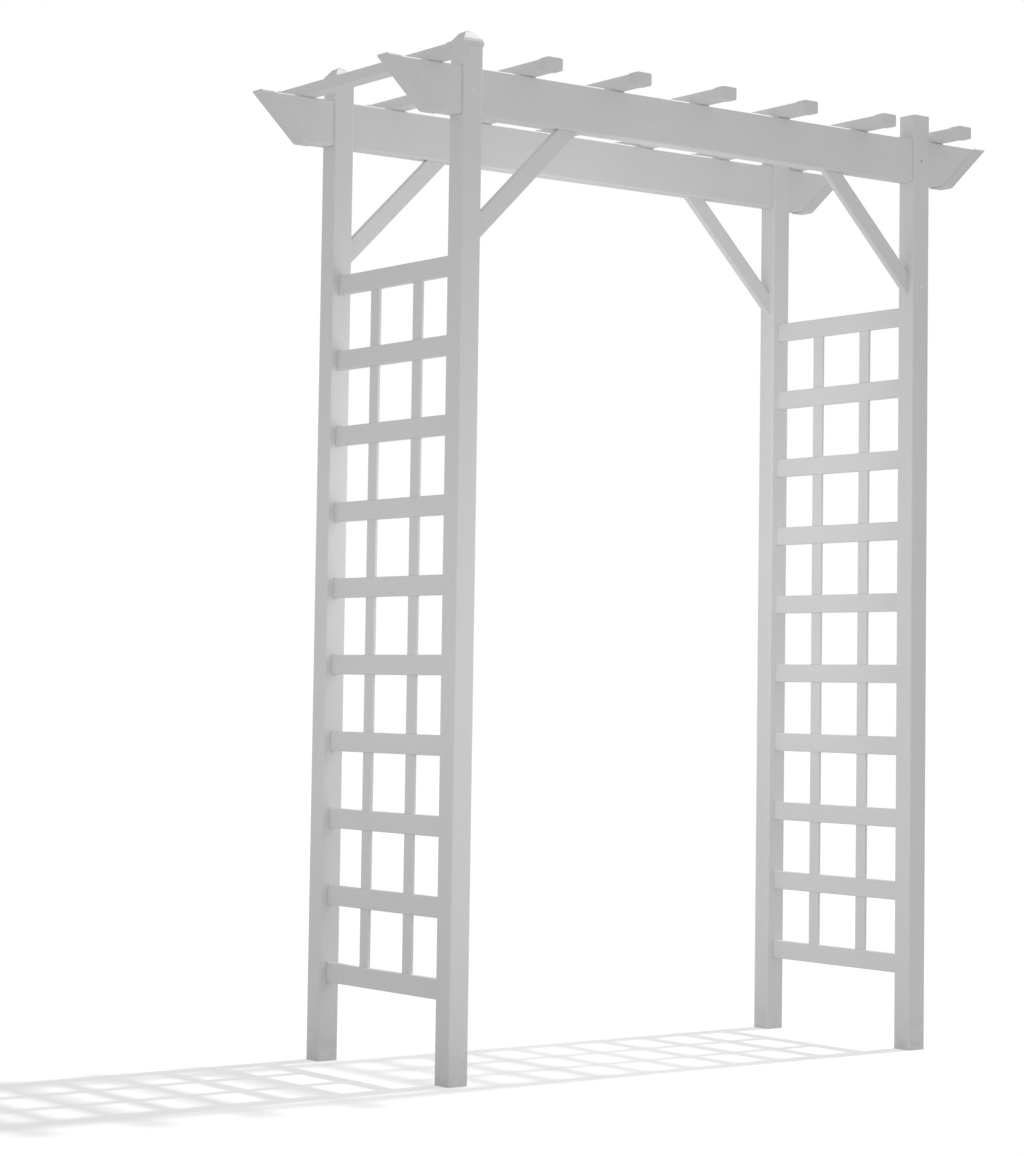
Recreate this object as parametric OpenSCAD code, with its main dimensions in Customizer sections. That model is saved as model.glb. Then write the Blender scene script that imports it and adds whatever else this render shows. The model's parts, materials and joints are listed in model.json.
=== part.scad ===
// Garden trellis arch: four tube posts carry two long beams and seven rafters,
// and each end is closed by a trellis panel of ten rails and two slats.
// +X runs along the beams, +Y to the back, +Z up. The origin is on the ground
// in the middle of the footprint.

/* [Posts] */
// Outside width of a square post
post_w = 52; // [49:0.2:54]
// Height of a post from the ground to its cut top
post_h = 2260; // [2240:5:2400]
// Wall of a post tube
post_wall = 2; // [1.5:0.1:2.2]
// Outside corner radius of a post
post_r = 4; // [3:0.5:5]

/* [Footprint] */
// Distance between post centres along the beams
span_x = 1342; // [1250:2:1350]
// Distance between post centres from front to back
span_y = 514; // [440:2:560]

/* [Beams] */
// Height of a beam section
beam_h = 106; // [90:1:110]
// Thickness of a beam section
beam_t = 42; // [36:0.5:44]
// Wall of a beam tube
beam_wall = 2; // [1.5:0.1:2.5]
// Ground to the underside of the beams
beam_z = 2095; // [2085:1:2105]
// Half the length of a beam with its end caps, along its top edge
beam_reach = 891; // [880:1:940]
// How far a beam's slanting ends lean out from upright, in degrees
beam_lean = 46.5; // [44:0.5:48]

/* [Rafters] */
// Number of rafters
rafter_count = 7; // [5:2:7]
// Distance between rafter centres
rafter_pitch = 249; // [247:1:255]
// How far the row of rafters sits off centre (negative is towards the left end)
rafter_shift = -17; // [-18:1:-14]
// Width of a rafter
rafter_w = 40; // [34:1:42]
// Height of a rafter
rafter_h = 25; // [20:1:30]
// Length of a rafter over its two end caps
rafter_length = 740; // [720:5:800]
// Wall of a rafter tube
rafter_wall = 1.8; // [1.5:0.1:2.5]

/* [Braces] */
// Width of a knee brace, across its slope
brace_w = 40; // [34:1:42]
// Thickness of a knee brace
brace_t = 16; // [12:1:18]
// Leg of the 45 degree triangle under the brace's centre line
brace_leg = 248.4; // [230:0.2:252]

/* [Trellis panels] */
// Number of rails in a panel
rail_count = 10; // [6:1:10]
// Height of a rail
rail_h = 45; // [38:1:46]
// Thickness of a rail
rail_t = 16; // [13:0.5:18]
// Distance between rails, from centre to centre
rail_pitch = 174.5; // [168:0.5:175]
// Ground to the underside of the lowest rail
rail_low_z = 178; // [150:1:180]
// Width of a slat
slat_w = 34; // [28:1:40]
// Thickness of a slat
slat_t = 8; // [6:0.5:9]
// Distance of each slat's centre from the middle of the panel
slat_offset = 85; // [75:1:95]

/* [Caps] */
// Wall of every cap
cap_wall = 1.75; // [1.5:0.05:2]
// Wall of a beam cap along the beam's two faces
beam_cap_side = 1; // [0.8:0.1:1.8]
// How far a beam cap's sleeve reaches over the beam, square to the cut
beam_cap_depth = 23; // [18:1:26]
// How far a rafter cap's sleeve reaches over the rafter
rafter_cap_depth = 27; // [20:1:30]
// Overhang of a post cap beyond the post, each side
post_cap_lip = 1.8; // [1.5:0.1:5]
// How far a post cap's skirt hangs below the post's top
post_cap_skirt = 11.5; // [8:0.5:16]
// How far below the post's top a post cap's roof starts
post_cap_eaves = 3.5; // [0:0.5:5]
// Height of a post cap's roof above the post's top
post_cap_rise = 24; // [20:0.5:32]

/* [Screws] */
// Shank radius of every screw
screw_r = 2.1; // [1.5:0.1:2.3]
// Head radius of every screw
screw_head_r = 4.2; // [3.5:0.1:4.6]
// Head height of every screw
screw_head_h = 2.4; // [2:0.1:3]

/* [Hidden] */
$fn = 48;
fit = 0.15;          // gap all round a tube that passes through a routed hole
cap_gap = 0.1;       // gap between a cap's sleeve and what it covers
hole_r = screw_r + 0.1;
cut = 2;             // how far a cutter runs past the wall that it opens
plate = 2.5;         // end plate of a beam or rafter cap
tube_wall = 1.5;     // wall of the rails and braces
slat_wall = 1.2;     // wall of the slats
rail_r = 3;          // corner radii of the sections
beam_r = 4;
rafter_r = 2.5;
slat_r = 2;
brace_r = 2.5;
tenon = 34;          // rail end inside the post, from the post's face
brace_tenon = 32;    // brace end inside the post, from the post's face
brace_top = 18;      // brace end inside the beam, from its underside
brace_clear = 3;     // gap between the brace's end and the top rail's end

post_x = span_x / 2;
post_y = span_y / 2;
beam_mid_z = beam_z + beam_h / 2;
beam_top_z = beam_z + beam_h;
rail_length = span_y - post_w + 2 * tenon;
post_face_x = post_x - post_w / 2;           // inner face of a post, towards the arch
brace_foot_z = beam_z - brace_leg;           // brace's centre line at that face
rafter_mid_z = beam_top_z + rafter_h / 2;
tilted_cut = brace_w + 6;                    // length of the prism that opens a wall for a brace
brace_screw_z = brace_foot_z - 11;
screwed_rails = [1, ceil(rail_count / 2), rail_count];   // counted from the top

function rail_z(i) = rail_low_z + rail_h / 2 + (rail_count - i) * rail_pitch;
function rafter_x(i) = rafter_shift + (i - (rafter_count + 1) / 2) * rafter_pitch;
rail_top_z = rail_z(1) + rail_h / 2;

// ---- sections and shared shapes ----

// Rectangle with round corners, centred
module rounded_rect(w, h, r) {
    square([w - 2 * r, h], center = true);
    square([w, h - 2 * r], center = true);
    for (sx = [-1, 1], sy = [-1, 1])
        translate([sx * (w / 2 - r), sy * (h / 2 - r)]) circle(r = r);
}

// Wall of a rectangular tube
module tube_section(w, h, r, wall) {
    difference() {
        rounded_rect(w, h, r);
        rounded_rect(w - 2 * wall, h - 2 * wall, max(r - wall, 0.5));
    }
}

// Extrudes along X about the middle; the outline's own axes become Y and Z
module extrude_x(length) {
    rotate([90, 0, 90]) linear_extrude(length, center = true) children();
}

// Extrudes along Y about the middle; the outline's own axes become X and Z
module extrude_y(length) {
    rotate([90, 0, 0]) linear_extrude(length, center = true) children();
}

// Turns X down the brace's slope at the end of the arch that sx names
module lean(sx) {
    rotate([0, 45 * sx, 0]) children();
}

// Cutter for a round hole through a wall, along X, Y or Z
module hole_x(wall) {
    rotate([0, 90, 0]) cylinder(r = hole_r, h = wall + 2 * cut, center = true);
}

module hole_y(wall) {
    rotate([90, 0, 0]) cylinder(r = hole_r, h = wall + 2 * cut, center = true);
}

module hole_z(wall) {
    cylinder(r = hole_r, h = wall + 2 * cut, center = true);
}

// Cutter for the sloping hole that a brace passes through
module brace_hole(sx) {
    lean(sx) cube([tilted_cut, brace_t + 2 * fit, brace_w + 2 * fit], center = true);
}

// Domed screw: the head's seat is at the origin and the shank runs along -Z
module screw(length) {
    dome_r = (screw_head_r * screw_head_r + screw_head_h * screw_head_h) / (2 * screw_head_h);
    slot = [3.6, 0.8, 0.8];
    tip = 3;
    difference() {
        rotate_extrude() intersection() {
            translate([0, screw_head_h - dome_r]) circle(r = dome_r);
            square([screw_head_r, screw_head_h]);
        }
        for (turn = [0, 90])
            rotate(turn) translate([-slot[0] / 2, -slot[1] / 2, screw_head_h - slot[2]])
                cube([slot[0], slot[1], slot[2] + cut]);
    }
    translate([0, 0, tip - length]) cylinder(r = screw_r, h = length - tip);
    translate([0, 0, -length]) cylinder(r1 = 0.3, r2 = screw_r, h = tip);
}

// ---- posts ----

// Square tube with the holes for its beam, rails, brace and screws
module post(sx, sy) {
    color("gainsboro") translate([sx * post_x, sy * post_y, 0]) difference() {
        linear_extrude(post_h) tube_section(post_w, post_w, post_r, post_wall);
        translate([0, 0, beam_mid_z])
            cube([post_w + 2 * cut, beam_t + 2 * fit, beam_h + 2 * fit], center = true);
        translate([0, -sy * (post_w - post_wall) / 2, 0]) post_rail_holes();
        translate([-sx * post_w / 2, 0, brace_foot_z]) brace_hole(sx);
        post_screw_holes(sx, sy);
    }
}

module post_rail_holes() {
    for (i = [1:rail_count])
        translate([0, 0, rail_z(i)])
            cube([rail_t + 2 * fit, post_wall + 2 * cut, rail_h + 2 * fit], center = true);
}

// Panel screws enter from the arch's end, beam and brace screws from its front or back
module post_screw_holes(sx, sy) {
    wall_mid = (post_w - post_wall) / 2;
    for (i = screwed_rails)
        translate([sx * wall_mid, 0, rail_z(i)]) hole_x(post_wall);
    for (z = [beam_mid_z, brace_screw_z])
        translate([0, sy * wall_mid, z]) hole_y(post_wall);
}

module post_front_left() { post(-1, -1); }
module post_front_right() { post(1, -1); }
module post_back_left() { post(-1, 1); }
module post_back_right() { post(1, 1); }

// Shell cap: a skirt round the post, a low tier, a steep one and a flat pyramid, with a
// small step between each two
module post_cap(sx, sy) {
    wide = post_w + 2 * post_cap_lip;
    socket = post_w + 2 * cap_gap;
    skirt_r = 2.5;
    step = 0.8;
    waist = wide - 8;
    waist_z = post_cap_eaves;
    shoulder = wide - 31;
    shoulder_z = 0.75 * post_cap_rise;
    color("white") translate([sx * post_x, sy * post_y, post_h]) difference() {
        union() {
            translate([0, 0, -post_cap_skirt])
                linear_extrude(post_cap_skirt - post_cap_eaves) rounded_rect(wide, wide, skirt_r);
            cap_tier(wide - 2 * step, waist, -post_cap_eaves, waist_z);
            cap_tier(waist - 2 * step, shoulder, waist_z, shoulder_z);
            cap_tier(shoulder - 2 * step, 2, shoulder_z, post_cap_rise);
        }
        translate([0, 0, -post_cap_skirt - cut])
            linear_extrude(post_cap_skirt + cut) rounded_rect(socket, socket, post_r);
        cap_tier(post_w - 6, shoulder - 1.6, -cut, shoulder_z - cap_wall);
    }
}

// Four-sided slope from a lower square to an upper one
module cap_tier(low_w, high_w, low_z, high_z) {
    skin = 0.1;
    hull() {
        translate([0, 0, low_z]) linear_extrude(skin) square(low_w, center = true);
        translate([0, 0, high_z - skin]) linear_extrude(skin) square(high_w, center = true);
    }
}

module post_cap_front_left() { post_cap(-1, -1); }
module post_cap_back_left() { post_cap(-1, 1); }
module post_cap_back_right() { post_cap(1, 1); }

// ---- beams ----

// Space between two planes parallel to a beam's slanting end; both distances are
// measured inwards from the cap's outer face
module end_slab(sx, from, to) {
    side = 4 * beam_h;
    translate([sx * beam_reach, 0, beam_top_z]) rotate([0, sx * beam_lean, 0])
        translate([-sx * (from + to) / 2, 0, 0])
            cube([to - from, side, side], center = true);
}

// Box tube with slanting ends and holes for the braces and screws
module beam(sy) {
    color("lightgray") translate([0, sy * post_y, 0]) difference() {
        translate([0, 0, beam_mid_z])
            extrude_x(2 * beam_reach) tube_section(beam_t, beam_h, beam_r, beam_wall);
        for (sx = [-1, 1]) {
            end_slab(sx, -beam_h, plate + cap_gap);
            translate([sx * (post_face_x - brace_leg), 0, beam_z]) brace_hole(sx);
            translate([sx * post_x, sy * (beam_t - beam_wall) / 2, beam_mid_z])
                hole_y(beam_wall);
        }
        for (i = [1:rafter_count])
            translate([rafter_x(i), 0, beam_top_z - beam_wall / 2]) hole_z(beam_wall);
    }
}

module beam_front() { beam(-1); }
module beam_back() { beam(1); }

// Sleeve with a slanting end plate, pushed over the beam's cut end
module beam_cap(sx, sy) {
    color("white") translate([0, sy * post_y, 0]) difference() {
        intersection() {
            beam_cap_bar(sx, cap_gap + beam_cap_side, cap_gap + cap_wall);
            end_slab(sx, 0, beam_cap_depth);
        }
        intersection() {
            beam_cap_bar(sx, cap_gap, cap_gap);
            end_slab(sx, plate, 2 * beam_cap_depth);
        }
    }
}

// Solid bar with the beam's section, grown at its faces and at its top and bottom
module beam_cap_bar(sx, faces, ends) {
    translate([sx * beam_reach, 0, beam_mid_z])
        extrude_x(4 * beam_h)
            rounded_rect(beam_t + 2 * faces, beam_h + 2 * ends, beam_r + faces);
}

module beam_cap_front_left() { beam_cap(-1, -1); }
module beam_cap_front_right() { beam_cap(1, -1); }
module beam_cap_back_left() { beam_cap(-1, 1); }
module beam_cap_back_right() { beam_cap(1, 1); }

// ---- braces ----

// Tube at 45 degrees, cut square inside the post and level inside the beam
module brace(sx, sy) {
    low_z = rail_top_z + brace_clear;
    high_z = beam_z + brace_top;
    far_x = post_face_x + brace_tenon;
    near_x = post_face_x - 2 * brace_leg;
    color("gainsboro") translate([0, sy * post_y, 0]) difference() {
        intersection() {
            translate([sx * post_face_x, 0, brace_foot_z]) lean(sx)
                extrude_x(4 * brace_leg) tube_section(brace_t, brace_w, brace_r, tube_wall);
            translate([sx * (far_x + near_x) / 2, 0, (low_z + high_z) / 2])
                cube([far_x - near_x, 2 * brace_t, high_z - low_z], center = true);
        }
        translate([sx * post_x, sy * (brace_t - tube_wall) / 2, brace_screw_z])
            hole_y(tube_wall);
    }
}

module brace_front_left() { brace(-1, -1); }
module brace_front_right() { brace(1, -1); }
module brace_back_left() { brace(-1, 1); }
module brace_back_right() { brace(1, 1); }

// ---- rafters ----

// Tube across both beams, with a hole for a screw over each beam
module rafter(i) {
    color("gainsboro") translate([rafter_x(i), 0, rafter_mid_z]) difference() {
        extrude_y(rafter_length - 2 * (plate + cap_gap))
            tube_section(rafter_w, rafter_h, rafter_r, rafter_wall);
        for (sy = [-1, 1])
            translate([0, sy * post_y, 0]) hole_z(rafter_h);
    }
}

// Sleeve with an end plate, pushed over one end of a rafter
module rafter_cap(i, sy) {
    grow = 2 * (cap_wall + cap_gap);
    mouth = rafter_length / 2 - rafter_cap_depth;
    translate([rafter_x(i), 0, rafter_mid_z]) difference() {
        translate([0, sy * (rafter_length / 2 - rafter_cap_depth / 2), 0])
            extrude_y(rafter_cap_depth)
                rounded_rect(rafter_w + grow, rafter_h + grow, rafter_r + grow / 2);
        translate([0, sy * (mouth + (rafter_cap_depth - plate - cut) / 2), 0])
            extrude_y(rafter_cap_depth - plate + cut)
                rounded_rect(rafter_w + 2 * cap_gap, rafter_h + 2 * cap_gap, rafter_r);
    }
}

module rafter_caps(sy) {
    color("white") for (i = [1:rafter_count]) rafter_cap(i, sy);
}

module rafter_caps_front() { rafter_caps(-1); }
module rafter_caps_back() { rafter_caps(1); }

// ---- trellis panels ----

// Tube from front post to back post. Slats pass through the rails between the
// top and bottom ones, and end inside those two.
module rail(sx, i) {
    color("gainsboro") translate([sx * post_x, 0, rail_z(i)]) difference() {
        extrude_y(rail_length) tube_section(rail_t, rail_h, rail_r, tube_wall);
        if (i < rail_count) rail_slat_holes(-1);
        if (i > 1) rail_slat_holes(1);
        if (len(search(i, screwed_rails)) > 0)
            for (sy = [-1, 1])
                translate([sx * (rail_t - tube_wall) / 2, sy * post_y, 0]) hole_x(tube_wall);
    }
}

// Openings in a rail's upper wall (sz = 1) or lower wall (sz = -1)
module rail_slat_holes(sz) {
    for (sy = [-1, 1])
        translate([0, sy * slat_offset, sz * (rail_h - tube_wall) / 2])
            cube([slat_t + 2 * fit, slat_w + 2 * fit, tube_wall + 2 * cut], center = true);
}

// Upright tube, held between the walls of the top and bottom rails
module slat(sx, sy) {
    low_z = rail_z(rail_count) - rail_h / 2 + tube_wall + fit;
    high_z = rail_top_z - tube_wall - fit;
    color("gainsboro") translate([sx * post_x, sy * slat_offset, low_z])
        linear_extrude(high_z - low_z) tube_section(slat_t, slat_w, slat_r, slat_wall);
}

module slat_left_front() { slat(-1, -1); }
module slat_left_back() { slat(-1, 1); }
module slat_right_front() { slat(1, -1); }
module slat_right_back() { slat(1, 1); }

// ---- screws ----

// Through the outer wall of a post into the end of a rail
module panel_screws() {
    length = 28;
    color("silver") for (sx = [-1, 1], sy = [-1, 1], i = screwed_rails)
        translate([sx * (post_x + post_w / 2), sy * post_y, rail_z(i)])
            rotate([0, sx * 90, 0]) screw(length);
}

// Through the face of a post, at the given height
module face_screw(sx, sy, z, length) {
    translate([sx * post_x, sy * (post_y + post_w / 2), z])
        rotate([-sy * 90, 0, 0]) screw(length);
}

// Into the beams. The front right post's hole stays open.
module beam_screws() {
    length = 16;
    color("silver") {
        face_screw(-1, -1, beam_mid_z, length);
        face_screw(-1, 1, beam_mid_z, length);
        face_screw(1, 1, beam_mid_z, length);
    }
}

// Into the braces' lower ends
module brace_screws() {
    length = 30;
    color("silver") for (sx = [-1, 1], sy = [-1, 1])
        face_screw(sx, sy, brace_screw_z, length);
}

// Down through each rafter into both beams
module rafter_screws() {
    length = rafter_h + 12;
    color("silver") for (i = [1:rafter_count], sy = [-1, 1])
        translate([rafter_x(i), sy * post_y, beam_top_z + rafter_h]) screw(length);
}

// ---- assembly ----

post_front_left();
post_front_right();
post_back_left();
post_back_right();
post_cap_front_left();
post_cap_back_left();
post_cap_back_right();
beam_front();
beam_back();
beam_cap_front_left();
beam_cap_front_right();
beam_cap_back_left();
beam_cap_back_right();
brace_front_left();
brace_front_right();
brace_back_left();
brace_back_right();
for (i = [1:rafter_count])
    rafter(i);
rafter_caps_front();
rafter_caps_back();
for (i = [1:rail_count]) {
    rail(-1, i);
    rail(1, i);
}
slat_left_front();
slat_left_back();
slat_right_front();
slat_right_back();
panel_screws();
beam_screws();
brace_screws();
rafter_screws();
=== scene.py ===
"""Garden trellis arch: white powder-coated tubes, moulded end caps and painted screws, on a pale floor."""
import json
import math

import bpy
from mathutils import Matrix, Vector


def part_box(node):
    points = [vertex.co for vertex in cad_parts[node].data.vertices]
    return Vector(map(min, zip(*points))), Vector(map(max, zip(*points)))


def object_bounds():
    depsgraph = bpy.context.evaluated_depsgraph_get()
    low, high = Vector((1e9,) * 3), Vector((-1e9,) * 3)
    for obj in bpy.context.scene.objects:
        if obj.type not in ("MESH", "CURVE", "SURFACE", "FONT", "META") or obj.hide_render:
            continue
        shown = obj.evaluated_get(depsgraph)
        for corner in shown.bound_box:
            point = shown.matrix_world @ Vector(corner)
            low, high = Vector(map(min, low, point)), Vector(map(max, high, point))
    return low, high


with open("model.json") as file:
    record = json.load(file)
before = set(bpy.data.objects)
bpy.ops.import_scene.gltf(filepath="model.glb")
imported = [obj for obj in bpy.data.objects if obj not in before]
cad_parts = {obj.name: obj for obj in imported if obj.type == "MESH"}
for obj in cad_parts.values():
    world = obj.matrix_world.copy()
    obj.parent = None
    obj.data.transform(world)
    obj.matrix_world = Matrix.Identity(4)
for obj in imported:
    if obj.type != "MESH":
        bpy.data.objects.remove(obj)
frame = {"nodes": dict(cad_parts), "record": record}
cad_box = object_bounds()

# ---- where the arch is, from the CAD frame ----

arch_height = cad_box[1].z
post_low, post_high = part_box("post_back_right")
post_x = (post_low.x + post_high.x) / 2
post_y = (post_low.y + post_high.y) / 2
post_half = (post_high.x - post_low.x) / 2

# ---- camera: eye in metres, angles in radians, lens in millimetres ----

EYE = (-4.3894, -5.5572, 0.8507)
YAW = -0.6292
PITCH = 0.0627
ROLL = 0.0145
LENS = 93.3
SENSOR = 36
RISE = -0.0675       # lens shift, as a part of the frame's longer side
NEAREST = 0.1
FURTHEST = 300


def make_camera():
    forward = Vector((-math.sin(YAW) * math.cos(PITCH), math.cos(YAW) * math.cos(PITCH), math.sin(PITCH)))
    level = Vector((math.cos(YAW), math.sin(YAW), 0))
    over = level.cross(forward)
    right = math.cos(ROLL) * level + math.sin(ROLL) * over
    up = -math.sin(ROLL) * level + math.cos(ROLL) * over
    data = bpy.data.cameras.new("camera")
    data.sensor_width = SENSOR
    data.lens = LENS
    data.shift_y = RISE
    data.clip_start = NEAREST
    data.clip_end = FURTHEST
    camera = bpy.data.objects.new("camera", data)
    turn = Matrix((right, up, -forward)).transposed()
    camera.matrix_world = Matrix.Translation(EYE) @ turn.to_4x4()
    bpy.context.scene.collection.objects.link(camera)
    bpy.context.scene.camera = camera


make_camera()

# ---- node graphs ----

# places of a colour Mix node's sockets in its lists of inputs and outputs
MIX_FACTOR = 0
MIX_FIRST = 6
MIX_SECOND = 7
MIX_COLOUR = 2


class Graph:
    """Short way to add nodes to one material or world."""

    def __init__(self, owner):
        owner.use_nodes = True
        self.tree = owner.node_tree
        self.tree.nodes.clear()

    def add(self, kind, inputs=None, **settings):
        node = self.tree.nodes.new(kind)
        for key, value in settings.items():
            setattr(node, key, value)
        for key, value in (inputs or {}).items():
            self.put(node, key, value)
        return node

    def put(self, node, key, value):
        """Links a socket to an input, or sets the input's own value."""
        socket = node.inputs[key]
        if isinstance(value, bpy.types.NodeSocket):
            self.tree.links.new(value, socket)
        elif isinstance(value, (tuple, list)) and len(value) == 3 and socket.type == "RGBA":
            socket.default_value = (*value, 1)
        else:
            socket.default_value = value

    def math(self, operation, a, b=0.0, clamp=False):
        node = self.add("ShaderNodeMath", {0: a, 1: b}, operation=operation, use_clamp=clamp)
        return node.outputs[0]

    def noise(self, where, scale, detail=2.0, roughness=0.5):
        inputs = {"Vector": where, "Scale": scale, "Detail": detail, "Roughness": roughness}
        return self.add("ShaderNodeTexNoise", inputs).outputs["Fac"]

    def stretch(self, where, scale):
        return self.add("ShaderNodeMapping", {"Vector": where, "Scale": scale}).outputs[0]

    def remap(self, value, a, b, c, d):
        """Takes a to c and b to d, in a straight line between them and flat beyond."""
        inputs = {"Value": value, "From Min": a, "From Max": b, "To Min": c, "To Max": d}
        return self.add("ShaderNodeMapRange", inputs, clamp=True).outputs[0]

    def vary(self, value, amount, spread=0.2):
        """Turns a noise around 0.5 into a change of up to amount either way."""
        return self.remap(value, 0.5 - spread, 0.5 + spread, -amount, amount)

    def mix(self, fac, a, b):
        node = self.add("ShaderNodeMix", data_type="RGBA")
        self.put(node, MIX_FACTOR, fac)
        self.put(node, MIX_FIRST, a)
        self.put(node, MIX_SECOND, b)
        return node.outputs[MIX_COLOUR]

    def toned(self, colour, tone, swing):
        """The colour made darker or lighter, by up to swing, as tone goes from -0.5 to 0.5."""
        fac = self.math("ADD", tone, 0.5, clamp=True)
        return self.mix(fac, shade(colour, 1 - swing), shade(colour, 1 + swing))

    def position(self):
        return self.add("ShaderNodeTexCoord").outputs["Object"]

    def upward(self):
        """How much a face looks up: 1 on top, 0 on a wall, -1 underneath."""
        normal = self.add("ShaderNodeNewGeometry").outputs["Normal"]
        return self.add("ShaderNodeSeparateXYZ", {0: normal}).outputs[2]

    def bump(self, height, strength, distance):
        inputs = {"Height": height, "Strength": strength, "Distance": distance}
        return self.add("ShaderNodeBump", inputs).outputs[0]

    def finish(self, shader, kind="ShaderNodeOutputMaterial"):
        self.add(kind, {"Surface": shader.outputs[0]})


def shade(colour, amount):
    return tuple(c * amount for c in colour)


# ---- dust ----

DUST = (0.5, 0.485, 0.46)
THINNEST_FILM = 0.02


def dust_film(g, clouds, tilt_from, tilt_to, thickest):
    """A thin film of dust on faces that look up more than tilt_from, patchy as the clouds are."""
    flatness = g.remap(g.upward(), tilt_from, tilt_to, 0.0, 1.0)
    return g.math("MULTIPLY", flatness, g.remap(clouds, 0.35, 0.65, THINNEST_FILM, thickest))


# ---- powder coat: noise scales are in waves per metre, heights and depths in metres ----

COAT = (0.8, 0.8, 0.797)
COAT_SWING = 0.28
RAW = (0.56, 0.565, 0.57)

CLOUDS = 3.2
MOTTLE = 95.0
SPECKLE = 34.0
PEEL = 420.0
NIBS = 1500.0
CLOUD_TONE = 0.028
MOTTLE_TONE = 0.013
LINE_TONE = 0.01
SPLASH_HEIGHT = 0.16
SPLASH_MOST = 0.3
COAT_BUMP = 0.45
COAT_DEPTH = 0.0004
COAT_ROUGHEST = 0.48
COAT_SMOOTHEST = 0.4
BARE_FROM = 0.0017   # how deep in a post's wall the bare metal is complete
COAT_TO = 0.0012     # how deep the coat still covers it


def bare_metal(g, place):
    """1 on the inner walls of the posts, which the coat doesn't reach, and 0 outside."""
    far_x = g.math("ABSOLUTE", g.math("SUBTRACT", g.math("ABSOLUTE", place.outputs[0]), post_x))
    far_y = g.math("ABSOLUTE", g.math("SUBTRACT", g.math("ABSOLUTE", place.outputs[1]), post_y))
    wall = g.math("MAXIMUM", far_x, far_y)
    return g.remap(wall, post_half - BARE_FROM, post_half - COAT_TO, 1.0, 0.0)


def powder_coat(name, grain, inside=False):
    """White powder coat over extruded tube. grain stretches the die lines along the tube."""
    material = bpy.data.materials.new(name)
    g = Graph(material)
    at = g.position()
    place = g.add("ShaderNodeSeparateXYZ", {0: at})

    # film thickness: broad clouds, fine mottle and faint die lines under the coat
    clouds = g.noise(at, CLOUDS, 4.0, 0.55)
    mottle = g.noise(at, MOTTLE, 3.0, 0.6)
    lines = g.noise(g.stretch(at, grain), 1.0)
    tone = g.math("ADD", g.vary(clouds, CLOUD_TONE), g.vary(mottle, MOTTLE_TONE))
    tone = g.math("ADD", tone, g.vary(lines, LINE_TONE, 0.15))
    colour = g.toned(COAT, tone, COAT_SWING)

    # splash dust over the lowest hand's breadth and a thin film on what faces up
    speckle = g.noise(at, SPECKLE, 5.0, 0.65)
    foot = g.math("POWER", g.remap(place.outputs[2], 0.0, SPLASH_HEIGHT, 1.0, 0.0), 1.6)
    splash = g.math("MULTIPLY", foot, g.remap(speckle, 0.38, 0.66, 0.0, SPLASH_MOST))
    film = dust_film(g, clouds, 0.75, 0.97, 0.09)
    colour = g.mix(g.math("MAXIMUM", splash, film), colour, DUST)

    # orange peel, die lines and small nibs of powder
    peel = g.noise(at, PEEL, 1.5, 0.4)
    nibs = g.remap(g.noise(at, NIBS, 1.0), 0.7, 0.8, 0.0, 1.0)
    height = g.math("ADD", peel, g.math("MULTIPLY", lines, 0.35))
    height = g.math("ADD", height, g.math("MULTIPLY", nibs, 0.3))

    rough = g.remap(clouds, 0.3, 0.7, COAT_SMOOTHEST, COAT_ROUGHEST)
    rough = g.math("ADD", rough, g.math("MULTIPLY", splash, 1.2), clamp=True)
    metal = 0.0
    if inside:
        bare = bare_metal(g, place)
        scuffed = g.mix(g.remap(lines, 0.3, 0.7, 0.0, 1.0), shade(RAW, 0.85), RAW)
        colour = g.mix(bare, colour, scuffed)
        rough = g.math("ADD", rough, g.math("MULTIPLY", bare, -0.05))
        metal = g.math("MULTIPLY", bare, 0.9)
    shader = g.add("ShaderNodeBsdfPrincipled", {
        "Base Color": colour, "Roughness": rough, "Metallic": metal,
        "Normal": g.bump(height, COAT_BUMP, COAT_DEPTH),
        "Specular IOR Level": 0.5, "IOR": 1.5, "Coat Weight": 0.12, "Coat Roughness": 0.3,
    })
    g.finish(shader)
    return material


# ---- moulded caps ----

CAP = (0.78, 0.78, 0.777)
CAP_SWING = 0.25
CAP_CLOUDS = 14.0
CAP_FLOW = 60.0
CAP_SKIN = 1300.0
CAP_BUMP = 0.25
CAP_DEPTH = 0.00012


def moulded_plastic():
    """White end caps: a fine spark-eroded skin, duller than the tubes."""
    material = bpy.data.materials.new("moulded_caps")
    g = Graph(material)
    at = g.position()
    clouds = g.noise(at, CAP_CLOUDS, 3.0)
    skin = g.noise(at, CAP_SKIN, 2.0, 0.7)
    flow = g.noise(at, CAP_FLOW)
    tone = g.math("ADD", g.vary(clouds, 0.02), g.vary(flow, 0.01))
    colour = g.toned(CAP, tone, CAP_SWING)
    colour = g.mix(dust_film(g, clouds, 0.3, 0.9, 0.08), colour, DUST)
    height = g.math("ADD", skin, g.math("MULTIPLY", flow, 0.4))
    shader = g.add("ShaderNodeBsdfPrincipled", {
        "Base Color": colour, "Roughness": g.remap(clouds, 0.3, 0.7, 0.47, 0.55),
        "Normal": g.bump(height, CAP_BUMP, CAP_DEPTH), "Specular IOR Level": 0.4, "IOR": 1.49,
    })
    g.finish(shader)
    return material


# ---- screws ----

PAINT = (0.9, 0.9, 0.895)
STEEL = (0.58, 0.58, 0.57)
CHIPS = 900.0
PATCHES = 260.0
PAINT_PEEL = 700.0
PAINT_BUMP = 0.3
PAINT_DEPTH = 0.0001


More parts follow.
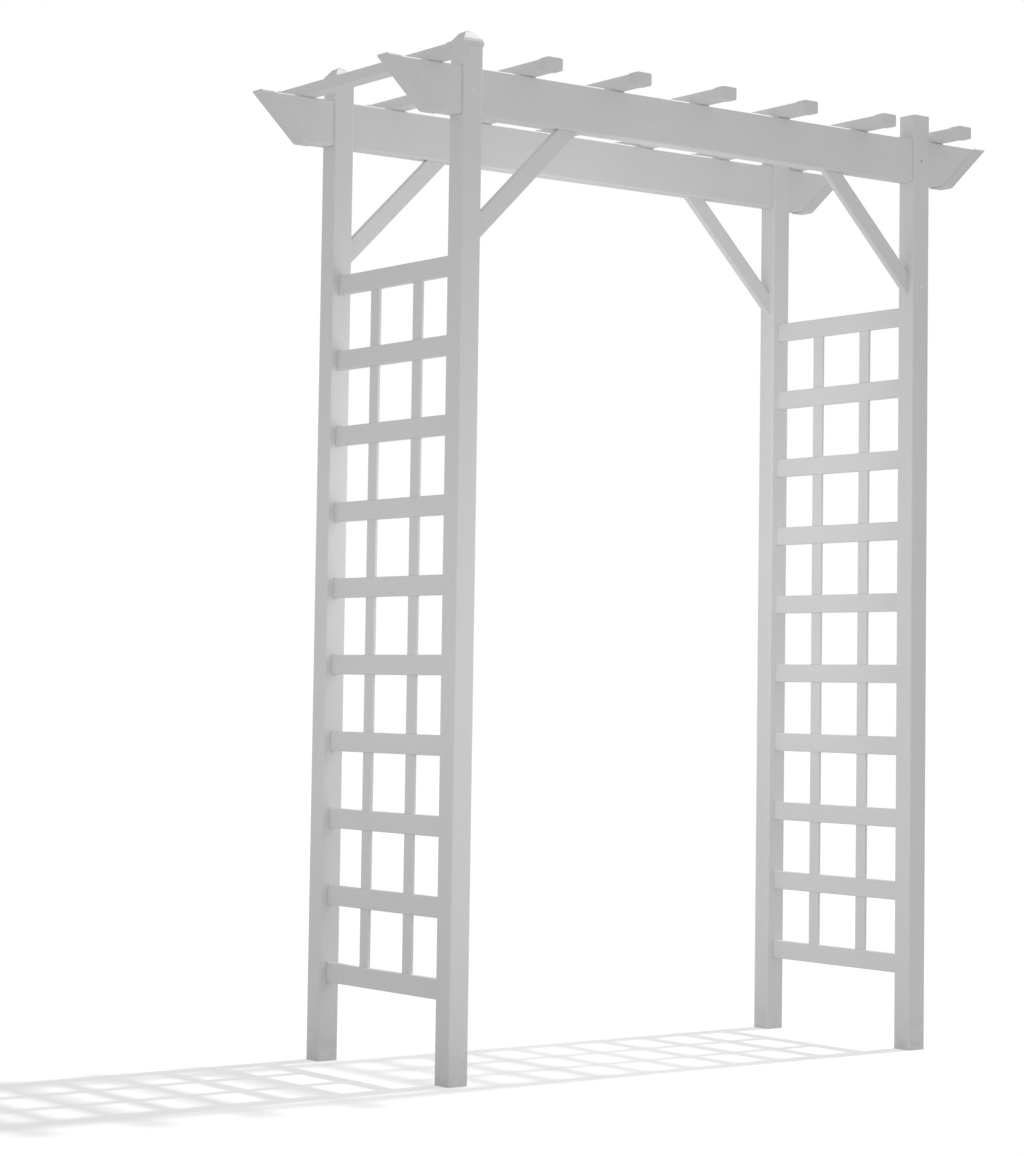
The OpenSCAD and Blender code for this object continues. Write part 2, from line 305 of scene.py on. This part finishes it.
def painted_steel():
    """Painted screw heads, chipped to bare steel in small spots where the driver has slipped."""
    material = bpy.data.materials.new("painted_screws")
    g = Graph(material)
    at = g.position()
    chips = g.remap(g.noise(at, CHIPS, 4.0, 0.65), 0.64, 0.68, 0.0, 1.0)
    patches = g.noise(at, PATCHES)
    chips = g.math("MULTIPLY", chips, g.remap(patches, 0.42, 0.55, 0.0, 1.0))
    paint = g.mix(g.remap(patches, 0.3, 0.7, 0.0, 1.0), shade(PAINT, 0.95), PAINT)
    height = g.math("SUBTRACT", g.noise(at, PAINT_PEEL), chips)
    shader = g.add("ShaderNodeBsdfPrincipled", {
        "Base Color": g.mix(chips, paint, STEEL), "Roughness": g.remap(patches, 0.3, 0.7, 0.3, 0.42),
        "Metallic": g.math("MULTIPLY", chips, 0.9), "Normal": g.bump(height, PAINT_BUMP, PAINT_DEPTH),
        "Specular IOR Level": 0.5,
    })
    g.finish(shader)
    return material


# ---- materials and soft edges on the CAD nodes ----

# die lines: many waves per metre across a tube and few along it
ACROSS = 330
ALONG = 4
ALONG_X = (ALONG, ACROSS, ACROSS)
ALONG_Y = (ACROSS, ALONG, ACROSS)
ALONG_Z = (ACROSS, ACROSS, ALONG)
ALL_ROUND = (60, 60, 60)

finishes = {
    "posts": powder_coat("coated_posts", ALONG_Z, inside=True),
    "beams": powder_coat("coated_beams", ALONG_X),
    "braces": powder_coat("coated_braces", ALL_ROUND),
    "rafters": powder_coat("coated_rafters", ALONG_Y),
    "rails": powder_coat("coated_rails", ALONG_Y),
    "slats": powder_coat("coated_slats", ALONG_Z),
    "caps": moulded_plastic(),
    "screws": painted_steel(),
}
slot_of = {part["node"]: part["material_slot"] for part in frame["record"]["subparts"]}

MOULD_RADIUS = 0.0008
MOULD_STEPS = 2
SHARP_ANGLE = math.radians(40)
SAME_POINT = 0.00001


def soften(node):
    """Rounds the edges of a moulded piece a little."""
    weld = node.modifiers.new("weld", "WELD")
    weld.merge_threshold = SAME_POINT
    bevel = node.modifiers.new("bevel", "BEVEL")
    bevel.width = MOULD_RADIUS
    bevel.segments = MOULD_STEPS
    bevel.limit_method = "ANGLE"
    bevel.angle_limit = SHARP_ANGLE
    bevel.use_clamp_overlap = True
    bevel.harden_normals = True
    normals = node.modifiers.new("normals", "WEIGHTED_NORMAL")
    normals.keep_sharp = True


for name, node in frame["nodes"].items():
    slot = slot_of[name]
    for place in node.material_slots:
        place.material = finishes[slot]
    if slot == "caps":
        soften(node)

# ---- stage ----

FLOOR_SIZE = 80
GLOW = 0.39          # what the floor shows of itself, so that shadows on it stay pale
FLOOR_TONE = 0.64    # how strongly the lights and shadows show on it
SKY = 0.55           # light that comes evenly from all round
BOUNCE = 0.57        # how much of the light the floor throws back up
BACKDROP = 1.0       # how bright the surroundings look to the camera
WHITE = (1, 1, 1)


def grey(tone):
    return (tone, tone, tone)


def make_floor():
    """A wide floor that the camera sees white, with pale shadows."""
    mesh = bpy.data.meshes.new("floor")
    half = FLOOR_SIZE / 2
    corners = [(-half, -half, 0), (half, -half, 0), (half, half, 0), (-half, half, 0)]
    mesh.from_pydata(corners, [], [(0, 1, 2, 3)])
    floor = bpy.data.objects.new("floor", mesh)
    bpy.context.scene.collection.objects.link(floor)
    material = bpy.data.materials.new("pale_floor")
    g = Graph(material)
    seen = g.add("ShaderNodeLightPath").outputs["Is Camera Ray"]
    diffuse = g.add("ShaderNodeBsdfDiffuse", {"Color": grey(FLOOR_TONE)})
    glow = g.add("ShaderNodeEmission", {"Color": WHITE, "Strength": GLOW})
    shown = g.add("ShaderNodeAddShader", {0: diffuse.outputs[0], 1: glow.outputs[0]})
    bounce = g.add("ShaderNodeBsdfDiffuse", {"Color": grey(BOUNCE)})
    g.finish(g.add("ShaderNodeMixShader", {0: seen, 1: bounce.outputs[0], 2: shown.outputs[0]}))
    mesh.materials.append(material)


def make_world():
    world = bpy.data.worlds.new("studio")
    bpy.context.scene.world = world
    g = Graph(world)
    seen = g.add("ShaderNodeLightPath").outputs["Is Camera Ray"]
    strength = g.remap(seen, 0.0, 1.0, SKY, BACKDROP)
    background = g.add("ShaderNodeBackground", {"Color": WHITE, "Strength": strength})
    g.finish(background, "ShaderNodeOutputWorld")


# ---- lights: places in metres, areas in watts ----

KEY_ENERGY = 1.7
KEY_ELEVATION = math.radians(52)
KEY_BEHIND = math.radians(3)     # how far the key light stands behind the arch's right end
KEY_SOFTNESS = math.radians(1.6)
KEY_DISTANCE = 3                 # in arch heights


def add_light(kind, name, energy, place, towards):
    light = bpy.data.lights.new(name, kind)
    light.energy = energy
    lamp = bpy.data.objects.new(name, light)
    lamp.location = place
    lamp.rotation_euler = Vector(towards).to_track_quat("-Z", "Y").to_euler()
    # the panels stand inside the arch, so the camera must not see them
    lamp.visible_camera = False
    bpy.context.scene.collection.objects.link(lamp)
    return light


def make_key():
    """A soft key light from above the right end of the arch."""
    flat = math.cos(KEY_ELEVATION)
    source = Vector((flat * math.cos(KEY_BEHIND), flat * math.sin(KEY_BEHIND), math.sin(KEY_ELEVATION)))
    key = add_light("SUN", "key", KEY_ENERGY, source * arch_height * KEY_DISTANCE, -source)
    key.angle = KEY_SOFTNESS


def make_softbox(name, energy, place, towards, width, height):
    """A weak panel that lifts the faces turned to it."""
    light = add_light("AREA", name, energy, place, towards)
    light.shape = "RECTANGLE"
    light.size = width
    light.size_y = height


make_floor()
make_world()
make_key()
make_softbox("fill_left", 0.7, place=(-1.45, 0, 0.95), towards=(1, 0, 0), width=0.6, height=0.8)
make_softbox("fill_right_panel", 1.75, place=(-0.3, 0, 1.1), towards=(1, 0, 0), width=0.8, height=1.8)
make_softbox("fill_left_posts", 1.6, place=(-0.3, -0.9, 0.9), towards=(-0.35, 1, 0), width=0.8, height=1.4)
make_softbox("fill_back_row", 1.5, place=(-0.12, -0.25, 1.35), towards=(-0.05, 1, 0.1), width=0.8, height=0.8)

view = bpy.context.scene.view_settings
view.view_transform = "Standard"
view.look = "None"
